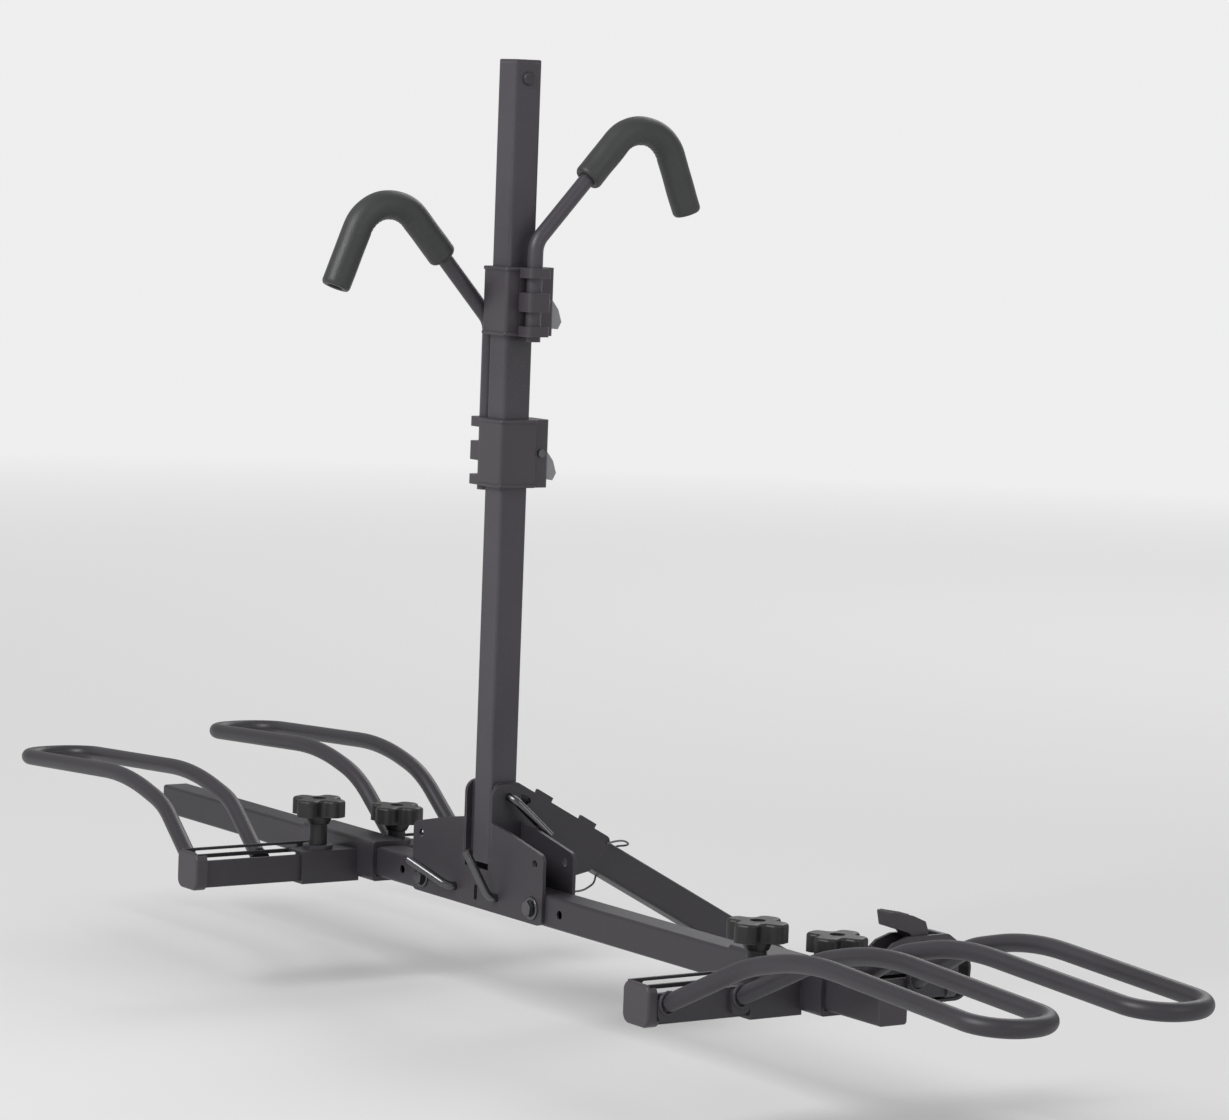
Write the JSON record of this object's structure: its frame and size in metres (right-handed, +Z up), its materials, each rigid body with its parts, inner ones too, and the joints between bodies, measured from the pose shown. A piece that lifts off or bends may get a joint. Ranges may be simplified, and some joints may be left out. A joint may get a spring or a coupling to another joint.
{
  "type": "hitch bike rack",
  "caption": "Hitch-mounted platform bike rack with a folding mast, padded frame hooks, folding arms and wheel hoops on sliding bars.",
  "frame": {"origin": "centre of the hitch pin hole in the shank", "axes": "+X along the hitch pin and the two arms, +Y towards the vehicle, +Z up along the mast"},
  "size_m": [1.609, 0.5856, 0.9235],
  "materials": {
    "powder_coat": "fine matt black powder coat",
    "zinc_steel": "bright zinc plate",
    "black_plastic": "moulded black plastic",
    "knob_plastic": "moulded dark plastic",
    "foam": "closed-cell foam",
    "grey_plastic": "light grey moulded plastic",
    "strap_rubber": "black strap rubber"
  },
  "bodies": {
    "shank": {"shank_tube": "powder_coat", "shank_bracket_left": "powder_coat", "shank_bracket_right": "powder_coat", "lanyard_wire": "zinc_steel"},
    "platform": {"front_plate": "powder_coat", "rear_plate": "powder_coat", "tall_plate_left": "powder_coat", "tall_plate_right": "powder_coat", "pivot_bolts": "zinc_steel"},
    "mast": {"mast_tube": "powder_coat", "mast_cap": "black_plastic", "stop_bolt": "powder_coat"},
    "mast_pin": {"mast_pin": "zinc_steel"},
    "strap_paddle": {"strap_paddle": "black_plastic"},
    "arm_left": {"arm_left": "powder_coat", "arm_cap_left": "black_plastic"},
    "arm_pin_left": {"arm_pin_left": "zinc_steel"},
    "sleeve_left": {"sleeve_left": "powder_coat"},
    "arm_right": {"arm_right": "powder_coat", "arm_cap_right": "black_plastic"},
    "arm_pin_right": {"arm_pin_right": "zinc_steel"},
    "sleeve_right": {"sleeve_right": "powder_coat"},
    "bar_near_left": {"bar_near_left": "powder_coat", "bar_cap_near_left": "black_plastic", "hoop_near_left": "powder_coat", "hoop_bolts_near_left": "zinc_steel"},
    "knob_near_left": {"knob_near_left": "knob_plastic", "knob_screw_near_left": "zinc_steel"},
    "bar_near_right": {"bar_near_right": "powder_coat", "bar_cap_near_right": "black_plastic", "hoop_near_right": "powder_coat", "hoop_bolts_near_right": "zinc_steel"},
    "knob_near_right": {"knob_near_right": "knob_plastic", "knob_screw_near_right": "zinc_steel"},
    "bar_far_left": {"bar_far_left": "powder_coat", "bar_cap_far_left": "black_plastic", "hoop_far_left": "powder_coat", "hoop_bolts_far_left": "zinc_steel"},
    "knob_far_left": {"knob_far_left": "knob_plastic", "knob_screw_far_left": "zinc_steel"},
    "bar_far_right": {"bar_far_right": "powder_coat", "bar_cap_far_right": "black_plastic", "hoop_far_right": "powder_coat", "hoop_bolts_far_right": "zinc_steel", "strap_band": "strap_rubber", "strap_buckle": "black_plastic"},
    "knob_far_right": {"knob_far_right": "knob_plastic", "knob_screw_far_right": "zinc_steel"},
    "upper_clamp": {"upper_clamp": "black_plastic", "upper_lever_pin": "zinc_steel"},
    "upper_lever": {"upper_lever": "grey_plastic"},
    "upper_hook": {"upper_hook": "powder_coat", "upper_foam": "foam"},
    "lower_clamp": {"lower_clamp": "black_plastic", "lower_lever_pin": "zinc_steel"},
    "lower_lever": {"lower_lever": "grey_plastic"},
    "lower_hook": {"lower_hook": "powder_coat", "lower_foam": "foam"}
  },
  "joints": [
    {"name": "platform_tilt", "type": "hinge", "parent": "shank", "child": "platform", "pos_m": [0, -0.2982, 0.11453], "axis": [1, 0, 0], "range_deg": [-28.71, 0]},
    {"name": "mast_fold", "type": "hinge", "parent": "platform", "child": "mast", "pos_m": [0, -0.2982, 0.11453], "axis": [1, 0, 0], "range_deg": [0, 90]},
    {"name": "mast_pin_pull", "type": "slide", "parent": "platform", "child": "mast_pin", "axis": [-1, 0, 0], "range_m": [-0.065, 0]},
    {"name": "arm_left_fold", "type": "hinge", "parent": "platform", "child": "arm_left", "pos_m": [-0.097, -0.2982, 0.07053], "axis": [0, 1, 0], "range_deg": [0, 85]},
    {"name": "arm_right_fold", "type": "hinge", "parent": "platform", "child": "arm_right", "pos_m": [0.097, -0.2982, 0.07053], "axis": [0, -1, 0], "range_deg": [0, 85]},
    {"name": "arm_pin_left_pull", "type": "slide", "parent": "platform", "child": "arm_pin_left", "axis": [0, -1, 0], "range_m": [0, 0.048]},
    {"name": "arm_pin_right_pull", "type": "slide", "parent": "platform", "child": "arm_pin_right", "axis": [0, -1, 0], "range_m": [0, 0.048]},
    {"name": "sleeve_left_slide", "type": "slide", "parent": "arm_left", "child": "sleeve_left", "axis": [-1, 0, 0], "range_m": [-0.068, 0.295]},
    {"name": "sleeve_right_slide", "type": "slide", "parent": "arm_right", "child": "sleeve_right", "axis": [1, 0, 0], "range_m": [-0.29, 0.07]},
    {"name": "bar_near_left_slide", "type": "slide", "parent": "sleeve_left", "child": "bar_near_left", "axis": [0, -1, 0], "range_m": [-0.022, 0]},
    {"name": "bar_near_right_slide", "type": "slide", "parent": "sleeve_right", "child": "bar_near_right", "axis": [0, -1, 0], "range_m": [0, 0.025]},
    {"name": "bar_far_left_slide", "type": "slide", "parent": "sleeve_left", "child": "bar_far_left", "axis": [0, 1, 0], "range_m": [0, 0.018]},
    {"name": "bar_far_right_slide", "type": "slide", "parent": "sleeve_right", "child": "bar_far_right", "axis": [0, 1, 0], "range_m": [0, 0.018]},
    {"name": "knob_near_left_turn", "type": "hinge", "parent": "sleeve_left", "child": "knob_near_left", "pos_m": [-0.2345, -0.3542, 0.09553], "axis": [0, 0, 1], "range_deg": [-360, 360]},
    {"name": "knob_near_right_turn", "type": "hinge", "parent": "sleeve_right", "child": "knob_near_right", "pos_m": [0.5055, -0.3542, 0.09553], "axis": [0, 0, 1], "range_deg": [-360, 360]},
    {"name": "knob_far_left_turn", "type": "hinge", "parent": "sleeve_left", "child": "knob_far_left", "pos_m": [-0.2345, -0.2622, 0.09553], "axis": [0, 0, 1], "range_deg": [-360, 360]},
    {"name": "knob_far_right_turn", "type": "hinge", "parent": "sleeve_right", "child": "knob_far_right", "pos_m": [0.4995, -0.2622, 0.09553], "axis": [0, 0, 1], "range_deg": [-360, 360]},
    {"name": "upper_clamp_slide", "type": "slide", "parent": "mast", "child": "upper_clamp", "axis": [0, 0, 1], "range_m": [-0.035, 0.16]},
    {"name": "lower_clamp_slide", "type": "slide", "parent": "mast", "child": "lower_clamp", "axis": [0, 0, 1], "range_m": [-0.25, 0.035]},
    {"name": "upper_hook_swivel", "type": "hinge", "parent": "upper_clamp", "child": "upper_hook", "pos_m": [0.029, -0.2929, 0.64053], "axis": [0, 0, 1], "range_deg": [-90, 0]},
    {"name": "lower_hook_swivel", "type": "hinge", "parent": "lower_clamp", "child": "lower_hook", "pos_m": [-0.029, -0.3035, 0.49053], "axis": [0, 0, 1], "range_deg": [-90, 0]},
    {"name": "upper_lever_turn", "type": "hinge", "parent": "upper_clamp", "child": "upper_lever", "pos_m": [0, -0.2708, 0.63953], "axis": [1, 0, 0], "range_deg": [0, 60]},
    {"name": "lower_lever_turn", "type": "hinge", "parent": "lower_clamp", "child": "lower_lever", "pos_m": [0, -0.2708, 0.49453], "axis": [1, 0, 0], "range_deg": [0, 60]},
    {"name": "strap_paddle_turn", "type": "hinge", "parent": "bar_far_right", "child": "strap_paddle", "pos_m": [0.505, -0.1782, 0.10003], "axis": [1, 0, 0], "range_deg": [-70, 15]}
  ]
}
